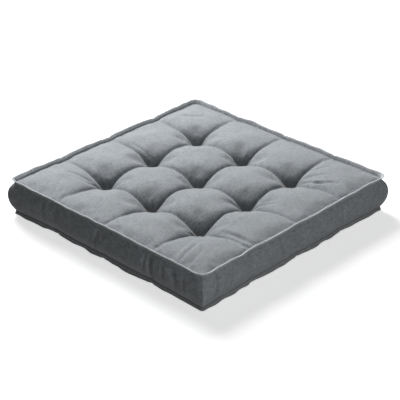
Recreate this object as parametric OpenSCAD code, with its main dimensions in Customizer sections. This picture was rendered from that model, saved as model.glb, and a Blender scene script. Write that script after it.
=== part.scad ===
// Square floor cushion: a fabric cover with flanged edges and bellied sides,
// layered filling, and a grid of twine ties that pull the two faces together.
// Units are millimetres. The floor is z = 0 and the origin is the middle of the underside.

/* [Cushion] */
// Width over the tips of the top flange
cushion_w = 600; // [480:10:720]
// Height of the top puffs above the floor
cushion_h = 93; // [88:1:104]
// Number of tufts along each side
tufts_per_side = 3; // [2:1:4]
// Thickness of the cover fabric
cloth_t = 1.6; // [1.2:0.1:2]

/* [Boxing] */
// Height of the bottom seam above the floor
low_seam_z = 14; // [12:1:16]
// Drop from the top puffs to the top seam
top_seam_drop = 14; // [13:1:18]
// How far the sides belly out between the seams
belly = 12; // [6:1:15]

/* [Flanges] */
// Height of the flanges
flange_h = 10; // [8:1:11]
// Thickness of the folded flange strip
flange_t = 3; // [2:0.5:4]

/* [Tufts] */
// Depth of the top tufts below the puffs
top_tuft_depth = 44; // [36:1:48]
// Depth of the bottom tufts above the floor
low_tuft_depth = 16; // [14:1:20]
// Diameter of the tufting twine
twine_d = 2.2; // [1.6:0.1:2.6]

/* [Hidden] */
// Puffs along each side, and the distance from one crease to the next
grid = tufts_per_side + 1;
pitch = cushion_w / grid;
half_w = cushion_w / 2;
top_seam_z = cushion_h - top_seam_drop;

// Clearance between sewn pieces, and between the cover and its filling
seam_gap = 0.3;
fill_gap = 1;
hole_gap = 0.2;

// The top flange stands outside the top panel's edge. The bottom one is set in a little.
top_edge = half_w - flange_t - seam_gap;
low_inset = 3.5;
low_edge = top_edge - low_inset;
low_flange_half = low_edge + seam_gap + flange_t;

// Radius of each puff's crown, and how much of the bottom puffs is pressed flat by the floor
puff_r = 4 * pitch;
floor_press = 2.5;

// Radius at which the fabric rolls over from a puff into a tuft
top_roll = 50;
low_roll = 22;
tuft_floor_r = 8;

// Solid kept below the deepest tuft while a panel is being shaped
panel_root = 6;

// Cutters run past what they cut by this much, and long bars are cut back from this length
over_cut = 1;
bar_l = 2 * cushion_w;

// How far a tuft's cutter reaches above its face
funnel_rise = 10;

// The width over which each panel rolls down to its seam
edge_roll_w = 42;

// Boxing: an arc through both seams, which lie inside the flange tips
neck_inset = 5;
neck_half = half_w - neck_inset;
seam_mid_z = (top_seam_z + low_seam_z) / 2;
half_rise = (top_seam_z - low_seam_z) / 2;
belly_r = (half_rise * half_rise + belly * belly) / (2 * belly);
belly_axis = neck_half + belly - belly_r;

// Filling layers
core_low_z = 32;
core_drop = 36;
core_top_z = cushion_h - core_drop;
wadding_inset = 7;
wadding_half = neck_half - wadding_inset;

// Stitching and twine
thread_d = 1.2;
thread_gap = 0.1;
stitch_rise = 2.5;
corner_inset = 1.5;
corner_bare_angle = 4;
tie_half_w = 4;
knot_r = 2.8;
knot_w = 3.6;

// Materials
cloth_grey = [0.62, 0.64, 0.65];
flange_grey = [0.55, 0.57, 0.58];
thread_grey = [0.45, 0.46, 0.47];
twine_grey = [0.35, 0.36, 0.37];
fibre_white = [0.93, 0.93, 0.91];
wadding_white = [0.97, 0.97, 0.95];

$fn = 96;

SIDES = ["front", "right", "back", "left"];
CORNERS = ["front_right", "back_right", "back_left", "front_left"];
TUFTS = [for (row = [0 : tufts_per_side - 1]) for (col = [0 : tufts_per_side - 1]) [col, row]];
TIE_NODES = [for (n = [1 : len(TUFTS)]) str("tuft_tie_", n)];

function tuft_at(n) = [for (k = [0, 1]) (TUFTS[n][k] + 1) * pitch - half_w];

// ---- Shared shapes -------------------------------------------------------

module at_each_tuft() {
    for (n = [0 : len(TUFTS) - 1]) {
        translate(tuft_at(n)) children();
    }
}

// Everything below a face's puffs, with the crowns at z = over and the surface lowered by inset.
module puffs(inset, over, depth) {
    for (col = [0 : grid - 1]) for (row = [0 : grid - 1]) {
        corner = [col * pitch - half_w, row * pitch - half_w, -depth];
        intersection() {
            translate(corner) cube([pitch, pitch, depth + over]);
            translate([corner.x + pitch / 2, corner.y + pitch / 2, over - puff_r]) sphere(puff_r - inset);
        }
    }
}

// A long bar whose two upper edges roll down by drop at x = +-edge.
module rolled_bar(inset, edge, drop, depth) {
    roll_r = (edge_roll_w * edge_roll_w + drop * drop) / (2 * drop);
    flat = edge - edge_roll_w;
    rotate([90, 0, 0]) linear_extrude(bar_l, center = true) {
        difference() {
            union() {
                translate([-flat, -depth]) square([2 * flat, depth - inset]);
                for (side = [-1, 1]) translate([side * flat, -roll_r]) circle(roll_r - inset);
            }
            translate([-cushion_w, -depth - 4 * roll_r]) square([bar_l, 4 * roll_r]);
        }
    }
}

// The space that a tuft takes out of a face, widened by inset on every side.
// Where a tuft is deeper than its roll, a straight neck joins the roll to the tuft's floor.
module tuft_funnel(inset, tuft_depth, roll) {
    mouth = tuft_floor_r + roll;
    floor_z = -tuft_depth - inset;
    neck = tuft_depth + inset - roll;
    rotate_extrude() difference() {
        translate([0, floor_z]) square([mouth, funnel_rise - floor_z]);
        translate([mouth, -roll]) circle(roll - inset);
        if (neck > 0) {
            translate([tuft_floor_r + inset, floor_z - over_cut]) square([mouth, neck + over_cut]);
        }
    }
}

// The body under a face whose outermost plane is z = 0, down to z = -depth.
module under_face(inset, edge, drop, over, tuft_depth, roll, depth) {
    difference() {
        intersection() {
            puffs(inset, over, depth);
            rolled_bar(inset, edge, drop, depth);
            rotate([0, 0, 90]) rolled_bar(inset, edge, drop, depth);
        }
        at_each_tuft() tuft_funnel(inset, tuft_depth, roll);
    }
}

module under_top(inset, depth) {
    drop = top_seam_drop - seam_gap - cloth_t;
    translate([0, 0, cushion_h]) under_face(inset, top_edge, drop, 0, top_tuft_depth, top_roll, depth);
}

module under_bottom(inset, depth) {
    drop = low_seam_z - seam_gap - cloth_t;
    mirror([0, 0, 1]) under_face(inset, low_edge, drop, floor_press, low_tuft_depth, low_roll, depth);
}

module square_prism(half, low_z, high_z) {
    translate([-half, -half, low_z]) cube([2 * half, 2 * half, high_z - low_z]);
}

// Two holes for one tie's twine.
module twine_holes(clearance) {
    at_each_tuft() for (side = [-1, 1]) {
        translate([side * tie_half_w, 0, -over_cut])
            cylinder(h = cushion_h + 2 * over_cut, d = twine_d + 2 * clearance);
    }
}

// ---- Cover ---------------------------------------------------------------

module top_panel() {
    depth = top_tuft_depth + panel_root;
    color(cloth_grey) difference() {
        intersection() {
            under_top(0, depth);
            square_prism(top_edge, 0, cushion_h);
        }
        under_top(cloth_t, depth + over_cut);
        twine_holes(hole_gap);
    }
}

module bottom_panel() {
    depth = low_tuft_depth + panel_root;
    color(cloth_grey) difference() {
        intersection() {
            under_bottom(0, depth);
            square_prism(low_edge, 0, cushion_h);
        }
        intersection() {
            under_bottom(cloth_t, depth + over_cut);
            square_prism(half_w, cloth_t, cushion_h);
        }
        twine_holes(hole_gap);
    }
}

// One side of the boxing, built facing +X and cut on the corners' diagonals.
module boxing_strip() {
    color(cloth_grey) intersection() {
        translate([belly_axis, 0, seam_mid_z]) rotate([90, 0, 0]) difference() {
            cylinder(h = bar_l, r = belly_r, center = true);
            cylinder(h = bar_l + 2 * over_cut, r = belly_r - cloth_t, center = true);
        }
        translate([seam_gap, 0, low_seam_z]) linear_extrude(top_seam_z - low_seam_z) {
            polygon([[0, 0], [cushion_w, -cushion_w], [cushion_w, cushion_w]]);
        }
        translate([neck_half - 2 * cloth_t - belly / 2, -cushion_w, 0]) cube([cushion_w, bar_l, cushion_h]);
    }
}

module flange_ring(outer, low_z) {
    color(flange_grey) translate([0, 0, low_z]) linear_extrude(flange_h - seam_gap) difference() {
        square(2 * outer, center = true);
        square(2 * (outer - flange_t), center = true);
    }
}

// A thread laid round the outside of a flange.
module stitching_ring(flange_outer, z) {
    reach = flange_outer + thread_d / 2 + thread_gap;
    color(thread_grey) translate([0, 0, z]) for (turn = [0 : 3]) rotate([0, 0, 90 * turn]) {
        translate([reach, 0, 0]) rotate([90, 0, 0]) cylinder(h = 2 * reach, d = thread_d, center = true);
        translate([reach, reach, 0]) sphere(d = thread_d);
    }
}

// The thread that closes a corner, just inside the boxing's mitred edge.
module corner_thread() {
    reach = belly * sqrt(2);
    arc_r = (half_rise * half_rise + reach * reach) / (2 * reach);
    inside = sqrt(2) * cloth_t + corner_inset;
    arc_axis = sqrt(2) * neck_half + reach - arc_r;
    sweep = asin(half_rise / arc_r) - corner_bare_angle;
    color(thread_grey) rotate([0, 0, -45]) translate([arc_axis, 0, seam_mid_z]) rotate([90, 0, 0])
        rotate([0, 0, -sweep]) rotate_extrude(angle = 2 * sweep)
            translate([arc_r - inside, 0]) circle(d = thread_d);
}

// ---- Filling and ties ----------------------------------------------------

module wadding_top() {
    inset = cloth_t + fill_gap;
    color(wadding_white) intersection() {
        under_top(inset, cushion_h - core_top_z);
        square_prism(wadding_half, core_top_z + seam_gap, cushion_h);
    }
}

module filling_core() {
    inset = cloth_t + fill_gap;
    far_z = max(core_top_z - seam_mid_z, seam_mid_z - core_low_z);
    half = belly_axis + sqrt(pow(belly_r - cloth_t, 2) - far_z * far_z) - 2 * fill_gap;
    color(fibre_white) difference() {
        square_prism(half, core_low_z, core_top_z);
        at_each_tuft() translate([0, 0, cushion_h]) tuft_funnel(inset, top_tuft_depth, top_roll);
        twine_holes(fill_gap / 2);
    }
}

module wadding_bottom() {
    inset = cloth_t + fill_gap;
    color(wadding_white) difference() {
        intersection() {
            under_bottom(inset, core_low_z);
            square_prism(wadding_half, inset, core_low_z - seam_gap);
        }
        twine_holes(fill_gap / 2);
    }
}

// A loop through both faces: two runs, an arch in each tuft, and the knot underneath.
module tuft_tie(n) {
    high_z = cushion_h - top_tuft_depth;
    run = high_z - low_tuft_depth;
    color(twine_grey) translate(tuft_at(n)) {
        for (side = [-1, 1]) translate([side * tie_half_w, 0, low_tuft_depth]) cylinder(h = run, d = twine_d);
        translate([0, 0, high_z]) tie_arch();
        translate([0, 0, low_tuft_depth]) mirror([0, 0, 1]) tie_arch();
        translate([0, 0, low_tuft_depth - tie_half_w]) rotate([0, 90, 0]) {
            cylinder(h = knot_w, r = knot_r, center = true);
        }
    }
}

module tie_arch() {
    rotate([90, 0, 0]) rotate_extrude(angle = 180) translate([tie_half_w, 0]) circle(d = twine_d);
}

// ---- Nodes ---------------------------------------------------------------

top_panel();
bottom_panel();
for (side = [0 : 3]) {
    union() {
        rotate([0, 0, 90 * side - 90]) boxing_strip();
    }
}
flange_ring(half_w, top_seam_z + seam_gap);  // top_flange
flange_ring(low_flange_half, low_seam_z - flange_h);  // bottom_flange
stitching_ring(half_w, top_seam_z + stitch_rise);  // top_stitching
union() {  // bottom_stitching
    stitching_ring(low_flange_half, low_seam_z - stitch_rise);
}
for (corner = [0 : 3]) {
    union() {
        rotate([0, 0, 90 * corner]) corner_thread();
    }
}
wadding_top();
filling_core();
wadding_bottom();
for (n = [0 : len(TUFTS) - 1]) {
    tuft_tie(n);
}
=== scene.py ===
"""Square floor cushion: fabric cover, flanges, stitching, filling and tufting twine.

Metres, +Z up, the floor at z = 0. The main sizes come from the frame. Finer ones are named beside the
functions that use them.
"""

import math

import bpy
import numpy as np
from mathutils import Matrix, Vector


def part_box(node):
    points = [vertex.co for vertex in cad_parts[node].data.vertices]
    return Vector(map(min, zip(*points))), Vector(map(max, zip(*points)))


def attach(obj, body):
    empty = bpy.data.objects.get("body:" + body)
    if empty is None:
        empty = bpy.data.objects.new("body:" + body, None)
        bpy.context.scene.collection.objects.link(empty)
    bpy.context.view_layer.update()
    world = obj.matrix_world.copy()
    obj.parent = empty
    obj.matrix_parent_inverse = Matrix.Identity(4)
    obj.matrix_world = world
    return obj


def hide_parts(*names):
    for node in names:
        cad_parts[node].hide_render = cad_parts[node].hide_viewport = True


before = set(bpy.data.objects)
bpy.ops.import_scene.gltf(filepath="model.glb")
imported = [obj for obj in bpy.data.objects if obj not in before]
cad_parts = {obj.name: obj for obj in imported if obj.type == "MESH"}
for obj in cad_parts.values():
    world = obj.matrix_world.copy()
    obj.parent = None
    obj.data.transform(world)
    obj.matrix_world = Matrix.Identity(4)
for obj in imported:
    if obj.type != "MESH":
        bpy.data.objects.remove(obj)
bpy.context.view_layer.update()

BODY = "root"
MM = 0.001
CLOTH = 1.6 * MM  # thickness of the cover's fabric

# ---- Sizes read from the frame ----

SIDES = ("front", "right", "back", "left")
CORNERS = ("front_right", "back_right", "back_left", "front_left")
TIES = sorted(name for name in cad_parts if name.startswith("tuft_tie_"))
TUFTS = np.array([(np.array(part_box(name)[0][:2]) + np.array(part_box(name)[1][:2])) / 2 for name in TIES])
CREASES = np.unique(np.round(TUFTS[:, 0], 4))

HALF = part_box("top_flange")[1][0]
FLANGE_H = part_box("top_flange")[1][2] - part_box("top_flange")[0][2]
TOP_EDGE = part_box("top_panel")[1][0]
LOW_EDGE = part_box("bottom_panel")[1][0]
LOW_FLANGE_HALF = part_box("bottom_flange")[1][0]
BELLY_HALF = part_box("boxing_right")[1][0]
TOP_SEAM_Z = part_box("boxing_front")[1][2]
LOW_SEAM_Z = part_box("boxing_front")[0][2]
CROWN_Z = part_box("top_panel")[1][2]
TOP_TUFT_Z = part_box("top_panel")[0][2]
LOW_TUFT_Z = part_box("bottom_panel")[1][2]
PITCH = CREASES[1] - CREASES[0]
FLANGE_T = HALF - TOP_EDGE


# ---- Helpers ----

ALONG_X, ALONG_Y, UP = np.eye(3)


def bell(distance, width):
    """1 where distance is 0, falling to nothing over a few widths."""
    return np.exp(-((distance / width) ** 2))


def rise(q, power, edge=1.0):
    """0 at q = 0 with a steep start, level at q = 1 and beyond. edge below 1 makes the start steeper."""
    return (1 - (1 - np.clip(q, 0, 1)) ** power) ** edge


def unit(vectors):
    """The vectors, each scaled to length 1."""
    return vectors / np.linalg.norm(vectors, axis=-1, keepdims=True)


def puffed(dx, dy, width, power, edge=1.0):
    """Rises from each crease of a puff to level at width from it."""
    return rise(dx / width, power, edge) * rise(dy / width, power, edge)


def from_corner(points):
    """0 on the diagonals through the corners, positive towards the sides that face x."""
    return np.abs(points[:, 0]) - np.abs(points[:, 1])


def walked(path):
    """Distance along a path to each of its points."""
    return np.append(0, np.cumsum(np.linalg.norm(np.diff(path, axis=0), axis=1)))


def soft_noise(points, scale, seed):
    """Smooth random field of about unit size, made of a few dozen plane waves."""
    waves = 28
    draw = np.random.default_rng(seed)
    direction = unit(draw.normal(size=(waves, points.shape[-1])))
    length = scale * draw.uniform(0.6, 1.8, waves)
    phase = draw.uniform(0, 2 * math.pi, waves)
    total = np.zeros(points.shape[:-1])
    for k in range(waves):
        total += np.sin(points @ direction[k] * (2 * math.pi / length[k]) + phase[k])
    return total * math.sqrt(2 / waves)


# ---- The cover's shape before it is filled ----

STEPS = 26  # quads across one puff
SQUEEZE = 0.35  # how much closer the quads are at a crease
BOXING_ROWS = 14
CELLS = len(CREASES) + 1
N = CELLS * STEPS


def grid_lines():
    """Places across the cover from -1 to 1, closer together at the creases and the rim."""
    t = np.arange(STEPS) / STEPS
    eased = t - SQUEEZE * np.sin(2 * math.pi * t) / (2 * math.pi)
    inner = np.concatenate([[-HALF], CREASES, [HALF]])
    lines = [inner[c] + eased * (inner[c + 1] - inner[c]) for c in range(CELLS)]
    return np.append(np.concatenate(lines), HALF) / HALF


def crease_distance(coordinate):
    """Distance to the nearest crease line."""
    return np.abs(coordinate[..., None] - CREASES).min(-1)


def tuft_distance(x, y):
    """Distance to the nearest tuft."""
    return np.hypot(x[..., None] - TUFTS[:, 0], y[..., None] - TUFTS[:, 1]).min(-1)


CREST_Z = CROWN_Z - 2 * MM  # the middle of a puff before filling, which raises it a little
RIM_ROLL = 85 * MM  # width over which the outer puffs slope down to the rim
RIM_POWER = 1.8
RIM_RISE = 1.5 * MM  # how far the top panel's edge lies above the seam
RIM_DIP = 0.7 * MM  # how far the rim is pulled down where a crease meets it
RIM_PULL = 1.6 * MM  # how far it is pulled in there
RIM_PULL_W = 26 * MM
DIP_UNEVEN = (0.5, 11, 2)  # how unlike each other the dips are: share, waves, shift between sides
PULL_UNEVEN = (0.4, 7, 3)  # and the pulls
CORNER_IN = 4 * MM  # how far a corner is rounded off
CORNER_W = 8 * MM
DOME = 7 * MM  # how much a puff rises from its sides to its middle
DOME_POWER = 2.2
CREASE_DEPTH = 5.5 * MM  # depth of a crease below the puffs beside it, away from the tufts
CREASE_AT_TUFT = 18 * MM  # and at a tuft
CREASE_SIDE = 16 * MM  # how far the rounding of a puff's side reaches from its crease
TUFT_SIDE = 31 * MM  # and at a tuft
SIDE_POWER = 2
CREASE_EDGE = 0.62  # below 1: the sides stand up more steeply
RIM_CALM = 0.75  # how much of a puff's rounding is lost where it meets the rim
RIM_CALM_W = 70 * MM
TUFT_REACH = 35 * MM  # how far a tuft pulls the fabric down
TUFT_POWER = 1.4
TUFT_NEAR = 1.3  # how far out its creases are deeper, as a multiple of its reach
PLEAT = 2.8 * MM  # depth of the soft valley from a tuft towards each puff's middle
PLEAT_W = 16 * MM
PLEAT_R = 32 * MM  # how far from the tuft it is deepest
SLUMP = 0.25  # how much further the tufts on the near side reach
LOW_SIDE_Z = 6 * MM  # height of the bottom creases' sides, before a crease is added
LOW_PUFF = 11 * MM  # how far the bottom puffs stand out from them, before the floor presses them
LOW_DOME_POWER = 2.3
LOW_CREASE = 3 * MM
LOW_CREASE_W = 4 * MM
LOW_TUFT_REACH = 16 * MM
LOW_TUFT_POWER = 1.5
LOW_SAG = 2.5 * MM  # how far the bottom seam sags under the cushion's weight
CORNER_SAG = 4 * MM  # and how much further at the corners
CORNER_SAG_W = 60 * MM
BELLY_SKEW = 0.85  # below 1: the sides are widest above their middle
BELLY_POWER = 0.8  # below 1: they are fuller than a sine
BELLY_EASE = 0.5  # how much of the rim's pull the belly's widest line has lost
FLOOR_EASE = 1.5 * MM  # height over which a puff flattens onto the floor


def rim_weights(x, y):
    """For each axis: 0 on the rim, 1 well inside it."""
    return [rise((HALF - np.abs(c)) / RIM_ROLL, RIM_POWER) for c in (x, y)]


def uneven(along, across, share, waves, shift):
    """A factor near 1 that differs along a rim and from side to side."""
    return 1 + share * np.sin(waves * along / HALF + shift * np.sign(across))


def rim_wave(along, across):
    """The rim's dips where the creases meet it, no two quite alike."""
    depth = RIM_DIP * uneven(along, across, *DIP_UNEVEN)
    return -depth * sum(bell(along - c, RIM_PULL_W) for c in CREASES)


def rim_inset(along, across, corner):
    """How far a rim lies inside the straight line between the corners, which are rounded off by corner."""
    pull = RIM_PULL * uneven(along, across, *PULL_UNEVEN)
    pulled = pull * sum(bell(along - c, RIM_PULL_W) for c in CREASES)
    return pulled + corner * bell(HALF - np.abs(along), CORNER_W)


def gathered(x, y, edge, corner):
    """Grid places inside a rim at edge, with the rim pulled in at its creases and corners."""
    rx, ry = rim_weights(x, y)
    scale = edge / HALF
    px = x * scale - np.sign(x) * rim_inset(y, x, corner) * (1 - rx)
    py = y * scale - np.sign(y) * rim_inset(x, y, corner) * (1 - ry)
    return px, py


def top_height(x, y):
    """Height of the top panel's outer face."""
    r = tuft_distance(x, y)
    stretch = 1 - SLUMP * (x + y) / (2 * PITCH)
    reach = TUFT_REACH * stretch
    close = bell(r, TUFT_NEAR * reach)
    pull = np.exp(-((r / reach) ** TUFT_POWER))
    dx, dy = crease_distance(x), crease_distance(y)
    dome = puffed(dx, dy, PITCH / 2, DOME_POWER)
    width = CREASE_SIDE + (TUFT_SIDE - CREASE_SIDE) * close
    side = puffed(dx, dy, width, SIDE_POWER, CREASE_EDGE)
    round_here = 1 - RIM_CALM * bell(HALF - np.maximum(np.abs(x), np.abs(y)), RIM_CALM_W)
    crease = CREASE_DEPTH * round_here + (CREASE_AT_TUFT - CREASE_DEPTH) * close
    pleat = PLEAT * bell((dx - dy) / math.sqrt(2), PLEAT_W) * bell(r - PLEAT_R, PLEAT_R)
    cone = CREST_Z - TOP_TUFT_Z - CLOTH - DOME - CREASE_AT_TUFT
    inside = CREST_Z - DOME * round_here * (1 - dome) - cone * pull - crease * (1 - side) - pleat
    rx, ry = rim_weights(x, y)
    rim = TOP_SEAM_Z + RIM_RISE + rim_wave(x, y) * (1 - ry) + rim_wave(y, x) * (1 - rx)
    return rim + (inside - rim) * rx * ry


def low_height(x, y):
    """Height of the bottom panel's outer face: shallower puffs, pressed flat by the floor."""
    r = tuft_distance(x, y)
    funnel = (LOW_TUFT_Z - CLOTH) * np.exp(-((r / LOW_TUFT_REACH) ** LOW_TUFT_POWER))
    dx, dy = crease_distance(x), crease_distance(y)
    puff = puffed(dx, dy, PITCH / 2, LOW_DOME_POWER)
    crease = np.minimum(np.exp(-dx / LOW_CREASE_W) + np.exp(-dy / LOW_CREASE_W), 1)
    inside = LOW_SIDE_Z - LOW_PUFF * puff + LOW_CREASE * crease + funnel
    rx, ry = rim_weights(x, y)
    corner = bell(np.hypot(HALF - np.abs(x), HALF - np.abs(y)), CORNER_SAG_W)
    rim = LOW_SEAM_Z - LOW_SAG - CORNER_SAG * corner - rim_wave(x, y) * (1 - ry) - rim_wave(y, x) * (1 - rx)
    return press_flat(rim + (inside - rim) * rx * ry)


def boxing_half(t):
    """Half width of the cushion down the boxing, from the top seam (t = 0) to the bottom seam (t = 1)."""
    neck = TOP_EDGE + (LOW_EDGE - TOP_EDGE) * t
    return neck + (BELLY_HALF - neck) * np.sin(math.pi * t**BELLY_SKEW) ** BELLY_POWER


class Cover:
    """One closed skin of quads: top grid, boxing rings and bottom grid, with shared rims."""

    def __init__(self):
        lines = grid_lines()
        u, v = np.meshgrid(lines, lines, indexing="ij")
        n = N + 1
        x, y = u * HALF, v * HALF
        top = np.stack([*gathered(x, y, TOP_EDGE, CORNER_IN), top_height(x, y)], -1)
        low = np.stack([*gathered(x, y, LOW_EDGE, 0), low_height(x, y)], -1)
        self.top = numbered(n, n)
        ring = [(i, 0) for i in range(N)] + [(N, j) for j in range(N)]
        ring += [(N - i, N) for i in range(N)] + [(0, N - j) for j in range(N)]
        ring = tuple(np.array(ring).T)
        self.ring_uv = np.column_stack([lines[ring[0]], lines[ring[1]]])
        top_ring = self.top[ring]
        rows = [top_ring]
        points = [top.reshape(-1, 3)]
        count = n * n
        z_top = top.reshape(-1, 3)[top_ring, 2]
        self.low = numbered(n, n)
        low_ring_z = low.reshape(-1, 3)[self.low[ring], 2]
        for row in range(1, BOXING_ROWS):
            t = row / BOXING_ROWS
            z = z_top + (low_ring_z - z_top) * t
            points.append(np.column_stack([self.boxing_ring(t), z]))
            rows.append(np.arange(count, count + 4 * N))
            count += 4 * N
        points.append(low.reshape(-1, 3))
        self.low += count
        rows.append(self.low[ring])
        self.rows = np.array(rows)
        self.points = np.concatenate(points)
        self.quads = np.concatenate([
            grid_quads(self.top),
            grid_quads(self.low)[:, ::-1],
            grid_quads(np.column_stack([self.rows, self.rows[:, 0]])),
        ])

    def boxing_ring(self, t):
        """Where the boxing's ring at depth t runs, in plan."""
        u, v = self.ring_uv.T
        corner = CORNER_IN * (1 - t)
        inset = np.array([rim_inset(v * HALF, u, corner), rim_inset(u * HALF, v, corner)])
        inset *= 1 - BELLY_EASE * math.sin(math.pi * t)
        on_side = np.abs([u, v]) > 1 - 1e-9
        return self.ring_uv * boxing_half(t) - (np.sign([u, v]) * inset * on_side).T


def numbered(*shape):
    """Vertex numbers laid out as a grid."""
    return np.arange(math.prod(shape)).reshape(shape)


def crossed(first, second):
    """Pairs of a first and a second value, laid out as a grid."""
    return np.stack(np.meshgrid(first, second, indexing="ij"), -1)


def grid_quads(index):
    """Quads over a grid of vertex numbers."""
    return np.stack([index[:-1, :-1], index[1:, :-1], index[1:, 1:], index[:-1, 1:]], -1).reshape(-1, 4)


# ---- Making objects ----

def new_object(name, points, faces, uv=None):
    """A smooth-shaded mesh object. uv holds one flat cloth position, in metres, for each point."""
    mesh = bpy.data.meshes.new(name)
    mesh.from_pydata(np.asarray(points).tolist(), [], np.asarray(faces).tolist())
    if uv is not None:
        layer = mesh.uv_layers.new(name="cloth")
        loops = np.empty(len(mesh.loops), dtype=np.int32)
        mesh.loops.foreach_get("vertex_index", loops)
        layer.data.foreach_set("uv", np.asarray(uv)[loops].astype(np.float32).ravel())
    mesh.shade_smooth()
    obj = bpy.data.objects.new(name, mesh)
    bpy.context.scene.collection.objects.link(obj)
    return obj


def apply_modifiers(obj):
    """Replaces the object's mesh with what its modifiers make of it."""
    graph = bpy.context.evaluated_depsgraph_get()
    mesh = bpy.data.meshes.new_from_object(obj.evaluated_get(graph), depsgraph=graph)
    obj.modifiers.clear()
    obj.data = mesh


def get_points(obj, what="co"):
    """Where each point of a mesh is, or with what="normal" which way it faces."""
    values = np.empty(len(obj.data.vertices) * 3)
    obj.data.vertices.foreach_get(what, values)
    return values.reshape(-1, 3)


def set_points(obj, points):
    obj.data.vertices.foreach_set("co", points.ravel())
    obj.data.update()


def panel(name, points, index, flip, uv):
    """One cut piece of cover fabric: the patch of the cover, smoothed once."""
    quads = grid_quads(numbered(*index.shape))
    if flip:
        quads = quads[:, ::-1]
    obj = new_object(name, points[index.ravel()], quads, uv.reshape(-1, 2))
    smooth = obj.modifiers.new("smooth", "SUBSURF")
    smooth.levels = 1
    smooth.render_levels = 1
    smooth.boundary_smooth = "PRESERVE_CORNERS"
    apply_modifiers(obj)
    return obj


SHARP_ANGLE = math.radians(50)  # edges that turn further than this aren't smoothed over


def thicken(obj, thickness):
    """Gives a cloth surface its thickness, inwards."""
    shell = obj.modifiers.new("thickness", "SOLIDIFY")
    shell.thickness = thickness
    shell.offset = -1
    apply_modifiers(obj)
    obj.data.shade_smooth()
    obj.data.set_sharp_from_angle(angle=SHARP_ANGLE)


def strip_axes(side):
    """The axis that a boxing strip runs along and the one that it faces."""
    return (1, 0) if side in ("left", "right") else (0, 1)


def mitre(obj, side):
    """Cuts back the inner face at a boxing strip's ends, so that two strips meet on the diagonal."""
    points = get_points(obj)
    along, across = strip_axes(side)
    inner = slice(len(points) // 2, None)
    limit = np.abs(points[inner, across])
    points[inner, along] = np.clip(points[inner, along], -limit, limit)
    set_points(obj, points)


# ---- Folds in the filled fabric ----

RIDGE = 1.2  # how much the cloth stands up in a low ridge on each side of a fold
FOLD_ENDS = 0.7  # below 1: a fold keeps its depth nearer to its ends
SEAM_ENDS = 0.6  # the same for the boxing's folds
FOLD_DIFFER = (0.7, 1.3)  # how much shallower or deeper than usual a boxing fold may be


def valley(s):
    """Depth across a fold, s half widths from its middle."""
    return (1 - RIDGE * s**2) * np.exp(-(s**2))


def fade_in(t, power):
    """0 at t = 0 and at t = 1, and 1 half way."""
    return np.clip(np.sin(math.pi * np.clip(t, 0, 1)), 0, 1) ** power


def fold(points, start, end, width):
    """A fold along a straight line, seen from above. 1 at its deepest."""
    start, end = np.array(start), np.array(end)
    along = end - start
    length = np.linalg.norm(along)
    along = along / length
    offset = points[:, :2] - start
    t = offset @ along / length
    s = (offset @ np.array([-along[1], along[0]])) / width
    return fade_in(t, FOLD_ENDS) * valley(s)


TUFT_FOLD_LEAN = (12, 34)  # degrees away from the crease beside it
TUFT_FOLD_START = (5 * MM, 10 * MM)
TUFT_FOLD_END = (32 * MM, 58 * MM)
TUFT_FOLD_W = (4.0 * MM, 7.0 * MM)
TUFT_FOLD_DEPTH = (1.2 * MM, 2.4 * MM)


def tuft_folds():
    """Short folds that run out of each tuft beside its creases: start, end, width and depth."""
    draw = np.random.default_rng(11)
    folds = []
    for tuft in TUFTS:
        for quarter in range(4):
            for _ in range(draw.integers(0, 2)):
                lean = draw.uniform(*TUFT_FOLD_LEAN) * draw.choice([-1, 1])
                angle = math.radians(90 * quarter + lean)
                aim = np.array([math.cos(angle), math.sin(angle)])
                start = tuft + aim * draw.uniform(*TUFT_FOLD_START)
                end = tuft + aim * draw.uniform(*TUFT_FOLD_END)
                folds.append((start, end, draw.uniform(*TUFT_FOLD_W), draw.uniform(*TUFT_FOLD_DEPTH)))
    return folds


def loose_folds():
    """Slanting folds in the outer puffs: start and end in puff widths from the middle, width and depth."""
    lines = [
        ((-1.96, -1.36), (-1.45, -1.26), 4.5, 0.7),
        ((-1.98, -1.50), (-1.32, -1.34), 5.0, 2.0),
        ((-1.94, -1.66), (-1.42, -1.52), 4.5, 1.3),
        ((-0.91, -1.30), (-0.89, -1.95), 7.5, 3.4),
        ((0.05, -1.06), (0.24, -1.40), 5.0, 2.2),
        ((1.08, -1.10), (1.16, -1.66), 5.5, 3.0),
        ((1.16, -1.08), (1.44, -1.42), 5.0, 1.6),
        ((1.04, -1.28), (1.30, -1.68), 7.0, 3.4),
        ((1.30, -1.02), (1.66, -1.24), 5.0, 1.6),
        ((-1.10, 1.08), (-1.30, 1.62), 5.0, 2.0),
        ((-0.95, 1.32), (-0.72, 1.62), 10.0, 2.0),
        ((0.08, 1.10), (0.10, 1.60), 5.0, 1.6),
        ((1.30, 1.70), (1.60, 1.35), 10.0, 2.0),
        ((-1.85, 1.20), (-1.40, 1.50), 6.0, 1.0),
    ]
    return [(np.array(a) * PITCH, np.array(b) * PITCH, w * MM, d * MM) for a, b, w, d in lines]


LUMP = 0.5 * MM  # slight unevenness of the filling under the top panel
LUMP_W = 45 * MM
SEWN_W = 6 * MM  # how near to a tuft or a seam the cloth is held too tight to fold


def fold_depth(points):
    """How far the folds and the filling's unevenness press the top panel in at each point."""
    press = -LUMP * soft_noise(points, LUMP_W, seed=3)
    for start, end, width, depth in tuft_folds() + loose_folds():
        press += depth * fold(points, start, end, width)
    r = tuft_distance(points[:, 0], points[:, 1])
    edge = np.minimum(*[np.abs(np.abs(points[:, k]) - TOP_EDGE) for k in (0, 1)])
    return press * (1 - bell(r, SEWN_W)) * (1 - bell(edge, SEWN_W))


def press_in(obj, depth):
    """Moves each point of a cloth surface inwards by its depth."""
    set_points(obj, get_points(obj) - get_points(obj, "normal") * depth[:, None])


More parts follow.
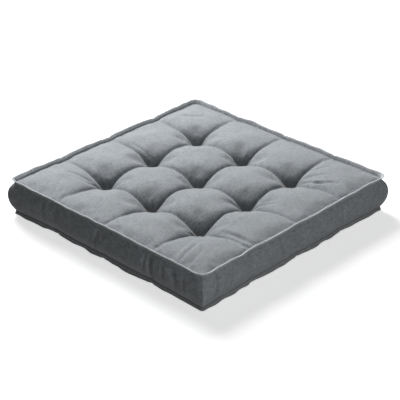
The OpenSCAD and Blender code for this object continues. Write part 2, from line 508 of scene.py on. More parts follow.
# Where each boxing strip's upright folds are, in puff widths from its middle
BOXING_FOLDS = {
    "front": (-1.75, -0.4, 0.95, 1.8),
    "right": (-1.6, -1.1, 0.2, 1.3),
    "back": (-1.2, 0.5, 1.55),
    "left": (-1.68, -1.50, -1.28, -1.02, -0.90, 0.10, 1.22),
}
BOXING_FOLD_DEPTH = {"front": 1.0 * MM, "right": 1.5 * MM, "back": 1.6 * MM, "left": 2.0 * MM}
BOXING_FOLD_W = (5 * MM, 9 * MM)
BOXING_FOLD_LEAN = 0.25  # sideways run of a fold for each unit of height, at most
BOXING_LUMP = 0.25 * MM
BOXING_LUMP_W = 40 * MM
CORNER_TIGHT = 12 * MM  # how near to a corner its seam holds the cloth straight


def fold_boxing(obj, side):
    """Presses upright folds into a boxing strip and returns how deep each point is, beside a usual fold."""
    points = get_points(obj)
    along, z = points[:, strip_axes(side)[0]], points[:, 2]
    draw = np.random.default_rng(40 + SIDES.index(side))
    free = fade_in((z - LOW_SEAM_Z) / (TOP_SEAM_Z - LOW_SEAM_Z), SEAM_ENDS)
    press = BOXING_LUMP * soft_noise(points, BOXING_LUMP_W, seed=30)
    for place in BOXING_FOLDS[side]:
        lean = draw.uniform(-BOXING_FOLD_LEAN, BOXING_FOLD_LEAN)
        width = draw.uniform(*BOXING_FOLD_W)
        s = (along - place * PITCH - lean * (z - (TOP_SEAM_Z + LOW_SEAM_Z) / 2)) / width
        press += BOXING_FOLD_DEPTH[side] * draw.uniform(*FOLD_DIFFER) * valley(s)
    press *= free * (1 - bell(from_corner(points), CORNER_TIGHT))
    press_in(obj, press)
    return press / BOXING_FOLD_DEPTH[side]


# ---- Flanges, stitches and twine ----

def ring_tangents(path):
    """The direction of a closed path at each of its points."""
    return unit(np.roll(path, -1, 0) - np.roll(path, 1, 0))


def smooth_ring(path, rounds):
    """Evens out the values along a closed path."""
    for _ in range(rounds):
        path = (np.roll(path, 1, 0) + 2 * path + np.roll(path, -1, 0)) / 4
    return path


def ring_normals(path):
    """The level outward direction at each point of a ring round the cushion."""
    tangent = ring_tangents(path)
    normal = np.column_stack([tangent[:, 1], -tangent[:, 0], np.zeros(len(path))])
    return unit(smooth_ring(normal, 2))


def refine_ring(path):
    """Puts evenly spaced points between a ring's points, keeping the corners."""
    count = len(path)
    t = np.arange(count * RING_FINER) / RING_FINER
    low = t.astype(int)
    part = (t - low)[:, None]
    return path[low] * (1 - part) + path[(low + 1) % count] * part


FLANGE_ROOT = 2.5 * MM  # how far the flange reaches down into the seam
ROOT_IN = 1.5 * MM  # how far inwards it turns there
STITCH_RISE = 2.6 * MM  # height of the stitching above the seam
STITCH_PINCH = 0.5 * MM  # how far the stitching draws each face in
PINCH_W = 1.2 * MM
FOLD_SWELL = 1.0 * MM  # how much further out each face is towards the folded edge
CORNER_FLARE = 3 * MM  # how far the flange splays out at a corner
NOTCH_W = 4 * MM  # the small kink in a flange where a crease meets it
NOTCH_IN = 1.2 * MM
SWAY_W = 60 * MM  # typical length of a flange's sideways waves
DIP_W = 45 * MM  # and of its up and down waves
DIP_SHARE = 0.7  # how large these are, beside the sideways ones
FLARE_W = 30 * MM
TOP_BASE = -0.5 * MM  # how far outside the seam the top flange's middle stands
TOP_LEAN = 4.5 * MM  # how far its edge leans out
TOP_WANDER = 0.7 * MM  # how far it strays
LOW_LEAN = 1.5 * MM
LOW_WANDER = 1.2 * MM
FLOOR_GAP = 0.8 * MM  # the bottom flange is squashed where it would come nearer to the floor than this
RING_FINER = 3  # points along a flange for each point of its seam
TOP_EVEN = 8  # rounds of smoothing along the top flange
LOW_EVEN = 3
FLOOR_PAINTED_SHADE = 0.7  # how much painted shade darkens the bottom flange near the floor
FLOOR_PAINTED_SHADE_H = 8 * MM  # and how far up
SEAM_PAINTED_SHADE = 1.0  # and how much painted shade darkens the seam above it
SEAM_PAINTED_SHADE_H = 1.6 * MM


def flange_profile():
    """Half thickness of the flange at each height, from the seam to the folded edge."""
    pinched = STITCH_RISE + PINCH_W * np.array([-1, 0, 1])
    fold_z = FLANGE_H - FLANGE_T / 2
    heights = np.concatenate([[-FLANGE_ROOT, 0], pinched, np.linspace(pinched[-1], fold_z, 4)[1:]])
    half = FLANGE_T / 2 + FOLD_SWELL * np.clip(heights / FLANGE_H, 0, 1) ** 2
    half -= STITCH_PINCH * bell(heights - STITCH_RISE, PINCH_W)
    turn = np.linspace(0, math.pi / 2, 6)[1:-1]
    heights = np.append(heights, fold_z + FLANGE_T / 2 * np.sin(turn))
    half = np.append(half, half[-1] * np.cos(turn))
    return heights, half


def flange(name, path, up, base, lean, flare, wander, seed):
    """The outer skin of a folded strip that stands on a seam ring, open where it goes into the seam.

    base and lean shift its foot and its edge outwards, flare splays it at the corners and wander is how far
    its edge strays.
    """
    normal = ring_normals(path)
    heights, half = flange_profile()
    profile_h = np.concatenate([heights, [FLANGE_H], heights[::-1]])
    profile_w = np.concatenate([half, [0], -half[::-1]])
    notch = bell(np.minimum(crease_distance(path[:, 0]), crease_distance(path[:, 1])), NOTCH_W)
    sway = wander * soft_noise(path, SWAY_W, seed) - NOTCH_IN * notch
    dip = DIP_SHARE * wander * soft_noise(path, DIP_W, seed + 1) - NOTCH_IN * notch
    free = 1 - bell(from_corner(path), CORNER_TIGHT)
    sway, dip = sway * free, dip * free
    rise_part = np.clip(profile_h / FLANGE_H, 0, 1)
    splay = flare * bell(from_corner(path), FLARE_W)
    out = base + (lean + splay[:, None] + sway[:, None]) * rise_part + profile_w - ROOT_IN * (profile_h < 0)
    height = profile_h + dip[:, None] * rise_part
    if up < 0:
        room = (path[:, 2] - FLOOR_GAP) / (FLANGE_H + dip)
        height *= np.minimum(room, 1)[:, None]
    points = path[:, None, :] + normal[:, None, :] * out[..., None]
    points[..., 2] += up * height
    index = numbered(*out.shape)
    quads = grid_quads(np.vstack([index, index[0]]))
    if up < 0:
        quads = quads[:, ::-1]
    across = walked(np.column_stack([profile_h, profile_w]))
    return new_object(name, points.reshape(-1, 3), quads, crossed(walked(path), across).reshape(-1, 2))


STITCH_PITCH = 4.4 * MM
STITCH_LENGTH = 3.5 * MM
STITCH_R = 0.42 * MM
STITCH_PROUD = 0.4  # how much of its radius a stitch's middle stands off the cloth
STITCH_SIDES = 7
# A stitch's outline: places along it, in its length, with its thickness there, in its radius
STITCH_OUTLINE = [(-0.5, 0.0), (-0.46, 0.55), (-0.34, 0.9), (0, 1.0), (0.34, 0.9), (0.46, 0.55), (0.5, 0.0)]


def spokes(tangents, guide, count):
    """count directions round each tangent, evenly spread. No tangent may run in the guide's direction."""
    side = unit(np.cross(tangents, guide))[:, None, :]
    top = np.cross(tangents[:, None, :], side)
    angle = (np.arange(count) * 2 * math.pi / count)[None, :, None]
    return np.cos(angle) * side + np.sin(angle) * top


def stitches(name, centres, tangents):
    """One mesh of small round-ended stitches."""
    round_it = spokes(tangents, UP, STITCH_SIDES)[:, ::-1]
    rows = []
    for place, size in STITCH_OUTLINE:
        middle = centres + tangents * place * STITCH_LENGTH
        rows.append(middle[:, None, :] + STITCH_R * size * round_it)
    points = np.stack(rows, 1)
    index = numbered(*points.shape[:3])
    index = np.concatenate([index, index[..., :1]], -1)
    quads = np.concatenate([grid_quads(one) for one in index])
    return new_object(name, points.reshape(-1, 3), quads)


def along_path(path, spacing, closed):
    """Evenly spaced places on a path, with the direction of the path there."""
    if closed:
        path = np.vstack([path, path[0]])
    walk = walked(path)
    count = max(2, int(walk[-1] / spacing))
    places = (np.arange(count) + 0.5) * walk[-1] / count
    centres, ahead, behind = (
        np.column_stack([np.interp(places + shift, walk, path[:, k]) for k in range(3)])
        for shift in (0, 1 * MM, -1 * MM)
    )
    return centres, unit(ahead - behind)


def flange_stitches(name, path, up, base, lean):
    """The stitching on both faces of a flange."""
    middle = base + lean * STITCH_RISE / FLANGE_H
    off = FLANGE_T / 2 - STITCH_PINCH + STITCH_R * STITCH_PROUD
    rows = []
    for out in (middle - off, middle + off):
        row = path + ring_normals(path) * out + up * STITCH_RISE * UP
        rows.append(along_path(row, STITCH_PITCH, True))
    centres, tangents = (np.concatenate(both) for both in zip(*rows))
    return stitches(name, centres, tangents)


TWINE_SIDES = 8
TWINE_R = 0.39  # radius of the twine, as a share of its tie's half width
TWINE_LAY = 5 * MM  # length of one turn of its two plies
PLY_R = 0.56  # radius of a ply, as a share of the twine's
PLY_AWAY = 0.52  # and how far its middle is from the twine's
KNOT_TURNS = 3
KNOT_R = 0.42  # radius of the knot's wrapping, as a share of the loop's bend
KNOT_LENGTH = 3.4  # length of the wrapping, in twine radii
KNOT_TWINE = 0.6  # radius of the wrapped twine, as a share of the loop's
KNOT_CLEAR = 0.6 * MM  # how far the loop keeps above the low end of its tie


def tube(path, radius, guide, closed):
    """Points and quads of a round tube along a path that never runs in the guide's direction."""
    tangent = ring_tangents(path) if closed else unit(np.gradient(path, axis=0))
    points = path[:, None, :] + radius * spokes(tangent, guide, TWINE_SIDES)
    index = numbered(len(path), TWINE_SIDES)
    index = np.column_stack([index, index[:, 0]])
    if closed:
        index = np.vstack([index, index[0]])
    return points.reshape(-1, 3), grid_quads(index)


def loop_path(bend, low_z, high_z):
    """An upright loop in the x-z plane: two straight runs, joined at low_z and high_z by half circles."""
    angle = np.linspace(0, math.pi, 24)
    straight = np.linspace(low_z, high_z, 60)[1:-1]
    run = np.full(len(straight), bend)
    x = np.concatenate([bend * np.cos(angle), -run, -bend * np.cos(angle), run])
    turn = bend * np.sin(angle)
    z = np.concatenate([high_z + turn, straight[::-1], low_z - turn, straight])
    return np.column_stack([x, np.zeros(len(x)), z])


def twine_loop(name, node):
    """A two-ply twine loop through the cushion, with its wrapped knot underneath."""
    low, high = (np.array(c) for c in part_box(node))
    middle = (low + high) / 2 * [1, 1, 0]
    radius = TWINE_R * (high[1] - low[1]) / 2
    bend = (high[0] - low[0]) / 2 - radius
    low_z = low[2] + radius + bend + KNOT_CLEAR
    path = loop_path(bend, low_z, high[2] - radius - bend) + middle
    walk = walked(np.vstack([path, path[0]]))
    twist = walk[:-1] / walk[-1] * round(walk[-1] / TWINE_LAY) * 2 * math.pi
    side = np.cross(ring_tangents(path), ALONG_Y)
    meshes = []
    for phase in (0, math.pi):
        away = np.cos(twist + phase)[:, None] * side + np.sin(twist + phase)[:, None] * ALONG_Y
        meshes.append(tube(path + PLY_AWAY * radius * away, PLY_R * radius, ALONG_Y, True))
    turn = np.linspace(0, 2 * math.pi * KNOT_TURNS, 20 * KNOT_TURNS)
    knot = np.column_stack([
        (turn / turn[-1] - 0.5) * KNOT_LENGTH * radius,
        KNOT_R * bend * np.cos(turn),
        KNOT_R * bend * np.sin(turn),
    ])
    meshes.append(tube(knot + middle + [0, 0, low_z - bend], KNOT_TWINE * radius, ALONG_X, False))
    return join(name, meshes)


def join(name, meshes):
    """One object of several (points, quads) pairs."""
    points, quads, count = [], [], 0
    for part_points, part_quads in meshes:
        points.append(part_points)
        quads.append(part_quads + count)
        count += len(part_points)
    return new_object(name, np.concatenate(points), np.concatenate(quads))


# ---- Filling layers ----

def slab(name, upper, lower, keep):
    """A closed layer between two grids of points, with a hole wherever a quad isn't kept."""
    count = upper.shape[0] * upper.shape[1]
    quads = grid_quads(numbered(*upper.shape[:2]))[keep.ravel()]
    edges = np.concatenate([quads[:, [k, (k + 1) % 4]] for k in range(4)])
    keys = edges.min(1) * count + edges.max(1)
    _, first, uses = np.unique(keys, return_index=True, return_counts=True)
    rim = edges[first[uses == 1]]
    walls = np.column_stack([rim[:, 1], rim[:, 0], rim[:, 0] + count, rim[:, 1] + count])
    faces = np.concatenate([quads, quads[:, ::-1] + count, walls])
    points = np.concatenate([upper.reshape(-1, 3), lower.reshape(-1, 3)])
    used = np.unique(faces)
    renumber = np.zeros(len(points), dtype=int)
    renumber[used] = np.arange(len(used))
    return new_object(name, points[used], renumber[faces])


def grid_normals(grid):
    """Upward normals of a grid of points."""
    return unit(np.cross(np.gradient(grid, axis=0), np.gradient(grid, axis=1)))


def at_height(grid, z):
    """The same grid of points, moved to height z."""
    out = grid.copy()
    out[..., 2] = z
    return out


def quads_where(values):
    """True for each quad whose four corners are all true."""
    return values[:-1, :-1] & values[1:, :-1] & values[1:, 1:] & values[:-1, 1:]


FILL_GAP = CLOTH + 1.6 * MM  # from the cover's outer face to the filling
LAYER_GAP = 0.3 * MM
THINNEST = 1.5 * MM  # a layer ends where it would be thinner than this
TWINE_CLEAR = 3.5 * MM  # radius of the holes for the twine
FLUFF = 0.5 * MM
FLUFF_W = 12 * MM
CORE_UNDER = 2 * MM  # how far the core keeps under the inside of the cover
CORE_IN = 7 * MM  # how far inside the boxing it ends
FLOOR_CLEAR = 0.4 * MM


def filling_layers(points):
    """The upper wadding, the core and the lower wadding, made to the filled cover's inside."""
    top, low = points[cover.top], points[cover.low]
    pressed = np.maximum(fold_depth(top.reshape(-1, 3)), 0).reshape(N + 1, N + 1, 1)
    top_in = top - grid_normals(top) * (FILL_GAP + pressed)
    low_in = low + grid_normals(low) * FILL_GAP
    core_low, core_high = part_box("filling_core")[0][2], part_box("filling_core")[1][2]
    inside = np.abs(top[..., :2]).max(-1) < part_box("wadding_top")[1][0]
    clear = tuft_distance(top[..., 0], top[..., 1]) > TWINE_CLEAR

    fluff = np.abs(FLUFF * soft_noise(top, FLUFF_W, seed=21))
    wad_z = top_in[..., 2] - fluff
    keep = quads_where(inside & (wad_z > core_high + THINNEST))
    lower = at_height(top_in, core_high + LAYER_GAP)
    pieces = [slab("wadding_top_layer", at_height(top_in, wad_z), lower, keep)]

    outer = CREASES[-1] + PITCH / 3
    core_half = np.abs(points[cover.rows[BOXING_ROWS // 2], :2]).max(1).min() - CORE_IN
    wide = top.copy()
    spare = np.maximum(np.abs(top[..., :2]) - outer, 0)
    wide[..., :2] += np.sign(top[..., :2]) * spare * ((core_half - outer) / (TOP_EDGE - outer) - 1)
    core_top = np.minimum(core_high, top_in[..., 2] - CORE_UNDER)
    lower = at_height(wide, core_low)
    pieces.append(slab("filling_core_layer", at_height(wide, core_top), lower, quads_where(clear)))

    low_z = np.maximum(low_in[..., 2], CLOTH + FLOOR_CLEAR)
    keep = quads_where(inside & clear & (low_z < core_low - THINNEST))
    upper = at_height(low_in, core_low - LAYER_GAP)
    pieces.append(slab("wadding_bottom_layer", upper, at_height(low_in, low_z), keep))
    return pieces


# ---- Filling the cover ----

FILL_FRAMES = 20
FILL_CAP = 9 * MM  # the furthest that a point may move
FABRIC = {
    "quality": 6,
    "mass": 0.3,
    "air_damping": 4,
    "tension_stiffness": 20,
    "compression_stiffness": 20,
    "shear_stiffness": 8,
    "bending_stiffness": 1.5,
    "use_pressure": True,
    "uniform_pressure_force": 2.2,
    "shrink_min": -0.01,  # below 0: cut this much bigger than the shape it starts in
    "pin_stiffness": 1,
}

# How firmly points are held to where they start, from 0 to 1
HOLD_BOXING = 0.14
HOLD_SEAM = 0.8
HOLD_FACE = 0.1
HOLD_CREASE = 0.4  # added on a crease line
HOLD_CREASE_W = 3 * MM
HOLD_TUFT = 0.25  # added at a tuft
HOLD_TUFT_W = 32 * MM
TIED_R = 7 * MM  # radius within which the twine holds the fabric fast


def hold_weights(cover):
    """How firmly each point is held: fully in the tufts, partly along seams and creases."""
    hold = np.full(len(cover.points), HOLD_BOXING)
    x, y = cover.points[:, 0], cover.points[:, 1]
    on_face = np.zeros(len(hold), dtype=bool)
    on_face[cover.top.ravel()] = True
    on_face[cover.low.ravel()] = True
    near_crease = np.minimum(crease_distance(x), crease_distance(y))
    hold[on_face] = HOLD_FACE + HOLD_CREASE * bell(near_crease[on_face], HOLD_CREASE_W)
    r = tuft_distance(x, y)
    hold[on_face] += HOLD_TUFT * bell(r[on_face], HOLD_TUFT_W)
    hold[on_face & (r < TIED_R)] = 1
    for ring in (cover.rows[0], cover.rows[-1]):
        hold[ring] = HOLD_SEAM
    hold[cover.rows[1:-1, [0, N, 2 * N, 3 * N]]] = 0
    return hold


def fill(cover):
    """Blows the cover up with Cloth and pressure, and keeps the shape it settles in."""
    skin = new_object("skin", cover.points, cover.quads)
    group = skin.vertex_groups.new(name="hold")
    for weight, members in group_by_weight(hold_weights(cover)):
        group.add(members, weight, "REPLACE")
    cloth = skin.modifiers.new("cloth", "CLOTH")
    for key, value in FABRIC.items():
        setattr(cloth.settings, key, value)
    cloth.settings.vertex_group_mass = "hold"
    cloth.settings.effector_weights.gravity = 0
    cloth.collision_settings.use_collision = False
    scene = bpy.context.scene
    for step in range(1, FILL_FRAMES + 1):
        scene.frame_set(step)
    apply_modifiers(skin)
    move = get_points(skin) - cover.points
    bpy.data.objects.remove(skin)
    scene.frame_set(1)
    length = np.linalg.norm(move, axis=1)[:, None]
    filled = cover.points + move * np.minimum(1, FILL_CAP / np.maximum(length, 1e-9))
    filled[:, 2] = press_flat(filled[:, 2])
    return filled


def press_flat(z):
    """Heights after the floor has pushed back whatever would sink into it."""
    return np.where(z > FLOOR_EASE, z, FLOOR_EASE * np.exp(np.minimum(z / FLOOR_EASE - 1, 0)))


def group_by_weight(weights):
    """Pairs of one rounded weight and the points that have it."""
    rounded = np.round(weights, 2)
    return [(float(w), np.flatnonzero(rounded == w).tolist()) for w in np.unique(rounded) if w > 0]


# ---- Camera, light and floor ----

CAMERA_AZIMUTH = -46.15
CAMERA_ELEVATION = 28.66
CAMERA_DISTANCE = 5.477 * 2 * HALF
CAMERA_LENS = 127.6
CAMERA_TARGET = (0.0346, 0.0283, 5.5 * MM)
LIGHT_SIZE = 1.5


def aim(name, data, azimuth, elevation, distance, target=(0, 0, 0)):
    """Adds a camera or a light that looks at the target from an angle, in degrees, and a distance."""
    az, el = math.radians(azimuth), math.radians(elevation)
    away = np.array([math.sin(az) * math.cos(el), -math.cos(az) * math.cos(el), math.sin(el)])
    obj = bpy.data.objects.new(name, data)
    obj.location = np.array(target) + away * distance
    obj.rotation_euler = (math.radians(90 - elevation), 0, az)
    bpy.context.scene.collection.objects.link(obj)
    return obj


def add_camera():
    lens = bpy.data.cameras.new("camera")
    lens.lens = CAMERA_LENS
    lens.clip_end = 50
    camera = aim("camera", lens, CAMERA_AZIMUTH, CAMERA_ELEVATION, CAMERA_DISTANCE, CAMERA_TARGET)
    bpy.context.scene.camera = camera


def add_area_light(name, azimuth, elevation, distance, watts):
    """A square soft light aimed at the cushion."""
    light = bpy.data.lights.new(name, "AREA")
    light.shape = "SQUARE"
    light.size = LIGHT_SIZE
    light.energy = watts
    aim(name, light, azimuth, elevation, distance)


FLOOR_R = 4.5  # radius of the flat floor, in metres, before it curves up into the backdrop
COVE_R = 1.2
COVE_H = 3.0
FLOOR_GLOW = (0.62, 1.05)  # how strongly the floor shines near the cushion and far out
GLOW_FROM = (1.2, 3.0)  # how far out each of the two is reached, in metres


def floor_paint():
    """Pale paint that turns plain white further out."""
    n = Nodes("floor_paint")
    n.surface(Base_Color=(0.9, 0.9, 0.9, 1), Roughness=0.9, Emission_Color=(1, 1, 1, 1))
    distance = n.add("ShaderNodeVectorMath", operation="LENGTH")
    n.link(n.add("ShaderNodeTexCoord").outputs["Object"], distance.inputs[0])
    n.surface(Emission_Strength=n.span(distance.outputs["Value"], *GLOW_FROM, *FLOOR_GLOW))
    return n.material


def floor_and_cove():
    """A round floor whose edge curves up into a plain backdrop."""
    turn = np.linspace(0, math.pi / 2, 9)
    reach = np.concatenate([[0, 1, FLOOR_R], FLOOR_R + COVE_R * np.sin(turn[1:]), [FLOOR_R + COVE_R]])
    height = np.concatenate([[0, 0, 0], COVE_R * (1 - np.cos(turn[1:])), [COVE_H]])
    angle = np.linspace(0, 2 * math.pi, 65)
    grid = np.stack([
        np.outer(reach, np.cos(angle)),
        np.outer(reach, np.sin(angle)),
        np.outer(height, np.ones(len(angle))),
    ], -1)
    return new_object("floor", grid.reshape(-1, 3), grid_quads(numbered(*grid.shape[:2])))


def add_stage():
    floor = floor_and_cove()
    floor.visible_diffuse = False
    floor.data.materials.append(floor_paint())
    world = bpy.data.worlds.new("studio")
    world.use_nodes = True
    world.node_tree.nodes["Background"].inputs["Color"].default_value = (0.92, 0.97, 1, 1)
    world.node_tree.nodes["Background"].inputs["Strength"].default_value = 0.05
    bpy.context.scene.world = world
    bpy.context.scene.view_settings.view_transform = "Standard"
    add_area_light("key", azimuth=157, elevation=40, distance=2.8, watts=104)
    add_area_light("front_fill", azimuth=-22, elevation=3, distance=3.0, watts=34)


# ---- Materials ----

class Nodes:
    """Short names for building a material's node tree."""

    def __init__(self, name):
        self.material = bpy.data.materials.new(name)
        self.material.use_nodes = True
        self.tree = self.material.node_tree
        self.shader = self.tree.nodes["Principled BSDF"]

    def add(self, kind, **settings):
        node = self.tree.nodes.new(kind)
        for key, value in settings.items():
            setattr(node, key, value)
        return node

    def link(self, source, target):
        """Feeds target from another node's socket, or with a plain value."""
        if isinstance(source, bpy.types.NodeSocket):
            self.tree.links.new(source, target)
        else:
            target.default_value = source

    def feed(self, node, **inputs):
        """Feeds a node's sockets. A _ stands for a space in a socket's name."""
        for name, source in inputs.items():
            self.link(source, node.inputs[name.replace("_", " ")])

    def math(self, operation, a, b=0.0):
        node = self.add("ShaderNodeMath", operation=operation)
        self.link(a, node.inputs[0])
        self.link(b, node.inputs[1])
        return node.outputs[0]

    def vector(self, x, y, z=0.0):
        node = self.add("ShaderNodeCombineXYZ")
        for socket, value in zip(node.inputs, (x, y, z)):
            self.link(value, socket)
        return node.outputs[0]

    def noise(self, vector, scale, detail=2.0, roughness=0.5):
        node = self.add("ShaderNodeTexNoise")
        self.feed(node, Vector=vector, Scale=scale, Detail=detail, Roughness=roughness)
        return node.outputs["Fac"]

    def span(self, value, low, high, new_low, new_high):
        """value mapped from low..high to new_low..new_high."""
        node = self.add("ShaderNodeMapRange")
        self.feed(node, Value=value, From_Min=low, From_Max=high, To_Min=new_low, To_Max=new_high)
        return node.outputs["Result"]

    def mix_colour(self, factor, a, b):
        node = self.add("ShaderNodeMix", data_type="RGBA")
        self.link(factor, node.inputs["Factor"])
        self.link(a, node.inputs[6])
        self.link(b, node.inputs[7])
        return node.outputs[2]

    def surface(self, **inputs):
        self.feed(self.shader, **inputs)

    def bump(self, height, strength, distance):
        node = self.add("ShaderNodeBump")
        self.feed(node, Strength=strength, Distance=distance, Height=height)
        self.surface(Normal=node.outputs["Normal"])


YARN = 2.0 * MM  # distance between yarns
SLUB = 14 * MM  # typical length of a thick or thin place in a yarn
BAND = 2.2 * MM  # width of the fine streaks that several yarns make together
BAND_TONE = 0.45  # how much the streaks vary the colour
BROAD_TONE = 0.08  # and the large faint patches
BROAD_SCALE = 9.0  # of which this many fit into a metre
NOISE_RANGE = (0.3, 0.7)  # where the noise's values mostly lie
BAND_RANGE = (0.7, 1.3)  # and those of two noises added
DARK_YARN = (0.25, 0.268, 0.285, 1)
# Colour of the painted shade in the tufts, the boxing's folds, the bottom seam and near the floor
PAINTED_SHADE_COLOUR = (0.17, 0.165, 0.16, 1)


def yarn_noise(n, across, along, width, length, depth):
    """Streaks that run along one direction of the cloth."""
    place = n.vector(n.math("MULTIPLY", across, 1 / width), n.math("MULTIPLY", along, 1 / length), depth)
    return n.noise(place, 1.0)


def woven(name, dark, light, worn_and_highlight):
    """A plain weave of slubby yarns. dark and light are the yarns' colours, and the third colour is that of
    rubbed places and of painted highlights.
    """
    n = Nodes(name)
    cloth = n.add("ShaderNodeUVMap", uv_map="cloth")
    part = n.add("ShaderNodeSeparateXYZ")
    n.link(cloth.outputs["UV"], part.inputs[0])
    u, v = part.outputs[0], part.outputs[1]
    turns = 2 * math.pi / YARN
    weave_u = n.math("SINE", n.math("MULTIPLY", u, turns / 2))
    weave_v = n.math("SINE", n.math("MULTIPLY", v, turns / 2))
    over = n.math("MULTIPLY", weave_u, weave_v)
    warp = yarn_noise(n, u, v, YARN, SLUB, 0.0)
    weft = yarn_noise(n, v, u, YARN, SLUB, 7.3)
    bands = n.math("ADD", yarn_noise(n, u, v, BAND, 4 * BAND, 3.1), yarn_noise(n, v, u, BAND, 4 * BAND, 5.7))
    yarn = n.math("MULTIPLY", n.math("ADD", warp, weft), 0.5)
    broad = n.noise(n.vector(u, v, 2.1), BROAD_SCALE, 3.0)
    yarn_tone = n.span(yarn, *NOISE_RANGE, 0.0, 1.0)
    tone = n.math("ADD", yarn_tone, n.span(broad, *NOISE_RANGE, -BROAD_TONE, BROAD_TONE))
    tone = n.math("ADD", tone, n.span(bands, *BAND_RANGE, -BAND_TONE, BAND_TONE))
    colour = n.mix_colour(tone, dark, light)
    # A point attribute mixes in rubbed places and painted highlights where it is above 0, and painted shade
    # where it is below 0.
    wear_and_painted_light = n.add("ShaderNodeAttribute", attribute_name="wear_and_painted_light").outputs["Fac"]
    rubbed_and_highlit = n.math("MULTIPLY", n.math("MAXIMUM", wear_and_painted_light, 0), n.span(warp, *NOISE_RANGE, 0.5, 1.0))
    painted_shade = n.math("MAXIMUM", n.math("MULTIPLY", wear_and_painted_light, -1), 0)
    colour = n.mix_colour(painted_shade, n.mix_colour(rubbed_and_highlit, colour, worn_and_highlight), PAINTED_SHADE_COLOUR)
    n.surface(Base_Color=colour, Roughness=n.span(yarn, *NOISE_RANGE, 0.95, 0.78))
    n.surface(Sheen_Weight=0.4, Sheen_Roughness=0.35, Specular_IOR_Level=0.25)
    height = n.math("ADD", n.math("MULTIPLY", over, 0.35), yarn_tone)
    n.bump(height, 0.55, 0.5 * MM)
    return n.material


def fibrous(name, dark, light, grain, roughness, sheen, relief):
    """Fibres between two colours. grain holds the noise's settings, relief the bumps' strength and depth."""
    n = Nodes(name)
    fibre = n.noise(n.add("ShaderNodeTexCoord").outputs["Object"], *grain)
    n.surface(Base_Color=n.mix_colour(fibre, dark, light), Sheen_Weight=sheen)
    n.surface(Roughness=n.span(fibre, *NOISE_RANGE, *roughness))
    n.bump(fibre, *relief)
    return n.material


def spun(name, dark, light, scale):
    """Thread or twine: fibres twisted round, fine and slightly shiny."""
    return fibrous(name, dark, light, (scale, 3.0, 0.6), (0.75, 0.5), 0.2, (0.5, 0.2 * MM))


def fluffy(name, dark, light):
    """Polyester fibre: soft, matt and almost white, with matted clumps."""
    return fibrous(name, dark, light, (60.0, 5.0, 0.65), (1.0, 0.85), 0.5, (0.8, 2 * MM))


# ---- Pieces ----

def finish_piece(obj, material, slot, *nodes):
    """Gives a piece its material and its body, and hides the CAD nodes that it stands for. slot is not used.
    """
    obj.data.materials.clear()
    obj.data.materials.append(material)
    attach(obj, BODY)
    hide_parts(*nodes)


def add_wear_and_painted_light(obj, amount):
    """Stores each point's wear and painted light: up to 1 at rubbed places and painted highlights, down to -1
    at painted shade.
    """
    layer = obj.data.attributes.new("wear_and_painted_light", "FLOAT", "POINT")
    layer.data.foreach_set("value", np.clip(amount, -1, 1).astype(np.float32))


CROWN_WEAR = 0.6  # how rubbed the tops of the puffs are
TUFT_PAINTED_SHADE = 0.6  # how much painted shade darkens the tufts
TUFT_PAINTED_SHADE_R = 24 * MM
FOLD_PAINTED_SHADE = 0.35  # how much painted shade darkens the boxing's folds
EDGE_HIGHLIGHT_FULL = 2.5  # above 1: the painted highlight covers the edge itself fully, as a band
EDGE_HIGHLIGHT_W = 3 * MM  # how far down from its edge the top flange carries the painted highlight
SIDE_BLEND = 30 * MM
EDGE_HIGHLIGHT = {"front": 1.0, "right": 0.75, "back": 1.0, "left": 0.7}  # strength of the painted highlight on each side's flange edge
INNER_HIGHLIGHT = {"front": 0.2, "right": 0.75, "back": 1.0, "left": 0.2}  # and of the painted highlight on the face that looks inwards


def by_side(points, values):
    """A value for each point out of one for each side, blended at the corners."""
    on_x = np.clip(from_corner(points) / SIDE_BLEND + 0.5, 0, 1)
    from_x = np.where(points[:, 0] > 0, values["right"], values["left"])
    from_y = np.where(points[:, 1] > 0, values["back"], values["front"])
    return from_x * on_x + from_y * (1 - on_x)


def make_panels(points, material):
    lines = grid_lines() * HALF
    flat_uv = crossed(lines, lines)
    top = panel("top_panel_cloth", points, cover.top, False, flat_uv)
    press_in(top, fold_depth(get_points(top)))
    thicken(top, CLOTH)
    low = panel("bottom_panel_cloth", points, cover.low, True, flat_uv)
    thicken(low, CLOTH)
    made = [(top, "top_panel"), (low, "bottom_panel")]
    down = np.linspace(0, TOP_SEAM_Z - LOW_SEAM_Z, BOXING_ROWS + 1)
    strip_uv = crossed(down, lines)[..., ::-1]
    for k, side in enumerate(SIDES):
        columns = np.arange(k * N, (k + 1) * N + 1) % (4 * N)
        strip = panel(f"boxing_{side}_cloth", points, cover.rows[:, columns], False, strip_uv)
        deep = fold_boxing(strip, side)
        thicken(strip, CLOTH)
        mitre(strip, side)
        # Painted shade in the valleys of the boxing's folds.
        add_wear_and_painted_light(strip, -FOLD_PAINTED_SHADE * np.tile(deep, 2))
        made.append((strip, f"boxing_{side}"))
    shape = get_points(top)
    height = np.maximum(shape[:, 2] - TOP_TUFT_Z, 0) / (CROWN_Z - TOP_TUFT_Z)
    r = tuft_distance(shape[:, 0], shape[:, 1])
    # The crowns are rubbed pale. Painted shade darkens the tufts.
    add_wear_and_painted_light(top, CROWN_WEAR * height**3 - TUFT_PAINTED_SHADE * bell(r, TUFT_PAINTED_SHADE_R))
    add_wear_and_painted_light(low, np.zeros(len(low.data.vertices)))
    for obj, node in made:
        finish_piece(obj, material, "cover_fabric", node)


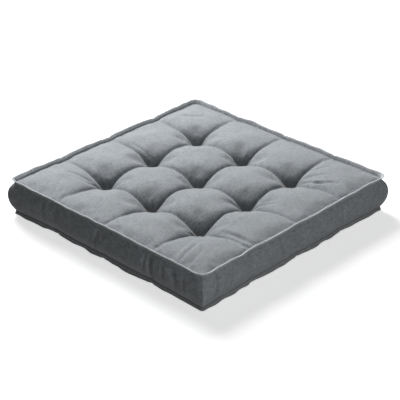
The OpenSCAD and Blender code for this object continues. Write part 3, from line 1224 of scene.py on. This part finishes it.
def make_flanges(points, cloth, thread):
    top_ring = smooth_ring(refine_ring(points[cover.rows[0]]), TOP_EVEN)
    low_ring = smooth_ring(refine_ring(points[cover.rows[-1]]), LOW_EVEN)
    low_base = LOW_FLANGE_HALF - FLANGE_T / 2 - LOW_EDGE
    top = flange("top_flange_strip", top_ring, 1, TOP_BASE, TOP_LEAN, CORNER_FLARE, TOP_WANDER, seed=51)
    low = flange("bottom_flange_strip", low_ring, -1, low_base, LOW_LEAN, 0, LOW_WANDER, seed=61)
    # Painted highlight on the top flange's folded edge and on its inner face, of a different strength on each
    # side.
    shape = get_points(top)
    edge_z = top_ring[:, 2].mean() + FLANGE_H
    reach = np.abs(shape[:, :2]).max(1).reshape(len(top_ring), -1)
    inner = (reach < np.median(reach, 1)[:, None]).ravel()
    at_edge = np.minimum(EDGE_HIGHLIGHT_FULL * bell(shape[:, 2] - edge_z, EDGE_HIGHLIGHT_W), 1)
    edge_highlight = by_side(shape, EDGE_HIGHLIGHT) * at_edge
    add_wear_and_painted_light(top, np.maximum(edge_highlight, by_side(shape, INNER_HIGHLIGHT) * inner))
    # Painted shade on the bottom flange near the floor and in the seam above it.
    low_z = get_points(low)[:, 2].reshape(len(low_ring), -1)
    in_seam = SEAM_PAINTED_SHADE * bell(low_z - low_ring[:, 2:], SEAM_PAINTED_SHADE_H)
    add_wear_and_painted_light(low, -np.maximum(FLOOR_PAINTED_SHADE * bell(low_z, FLOOR_PAINTED_SHADE_H), in_seam).ravel())
    finish_piece(top, cloth, "flange_fabric", "top_flange")
    finish_piece(low, cloth, "flange_fabric", "bottom_flange")
    top_rows = flange_stitches("top_flange_stitches", top_ring, 1, TOP_BASE, TOP_LEAN)
    low_rows = flange_stitches("bottom_flange_stitches", low_ring, -1, low_base, LOW_LEAN)
    finish_piece(top_rows, thread, "thread", "top_stitching")
    finish_piece(low_rows, thread, "thread", "bottom_stitching")


CORNER_THREAD_IN = 3 * MM  # how far inside the corner its stitches run


def make_corner_seams(points, thread):
    """The stitches that close each corner, just inside the fabric."""
    for k, corner in enumerate(CORNERS):
        edge = points[cover.rows[1:-1, ((k + 1) * N) % (4 * N)]]
        inwards = -np.sign(edge[:, :2]) * CORNER_THREAD_IN
        path = np.column_stack([edge[:, :2] + inwards, edge[:, 2]])
        centres, tangents = along_path(path, STITCH_PITCH, False)
        row = stitches(f"corner_stitches_{corner}", centres, tangents)
        finish_piece(row, thread, "thread", f"corner_thread_{corner}")


add_camera()
add_stage()

cover_fabric = woven("cover_fabric", DARK_YARN, (0.42, 0.447, 0.47, 1), (0.5, 0.53, 0.555, 1))
# The flange fabric's pale third colour is the colour of its painted highlight.
flange_fabric = woven("flange_fabric", DARK_YARN, (0.40, 0.427, 0.45, 1), (0.92, 0.945, 0.97, 1))
sewing_thread = spun("sewing_thread", (0.2, 0.21, 0.22, 1), (0.36, 0.37, 0.385, 1), 900.0)
tufting_twine = spun("tufting_twine", (0.08, 0.085, 0.09, 1), (0.2, 0.205, 0.21, 1), 700.0)
wadding = fluffy("wadding", (0.8, 0.8, 0.78, 1), (0.95, 0.95, 0.93, 1))
fibre = fluffy("fibre_filling", (0.74, 0.74, 0.71, 1), (0.9, 0.9, 0.87, 1))

cover = Cover()
filled = fill(cover)
make_panels(filled, cover_fabric)
make_flanges(filled, flange_fabric, sewing_thread)
make_corner_seams(filled, sewing_thread)
for layer, node, material in zip(
    filling_layers(filled), ("wadding_top", "filling_core", "wadding_bottom"), (wadding, fibre, wadding)
):
    finish_piece(layer, material, "fibre_filling" if node == "filling_core" else "wadding", node)
for tie in TIES:
    finish_piece(twine_loop(tie.replace("tie", "twine"), tie), tufting_twine, "tufting_twine", tie)
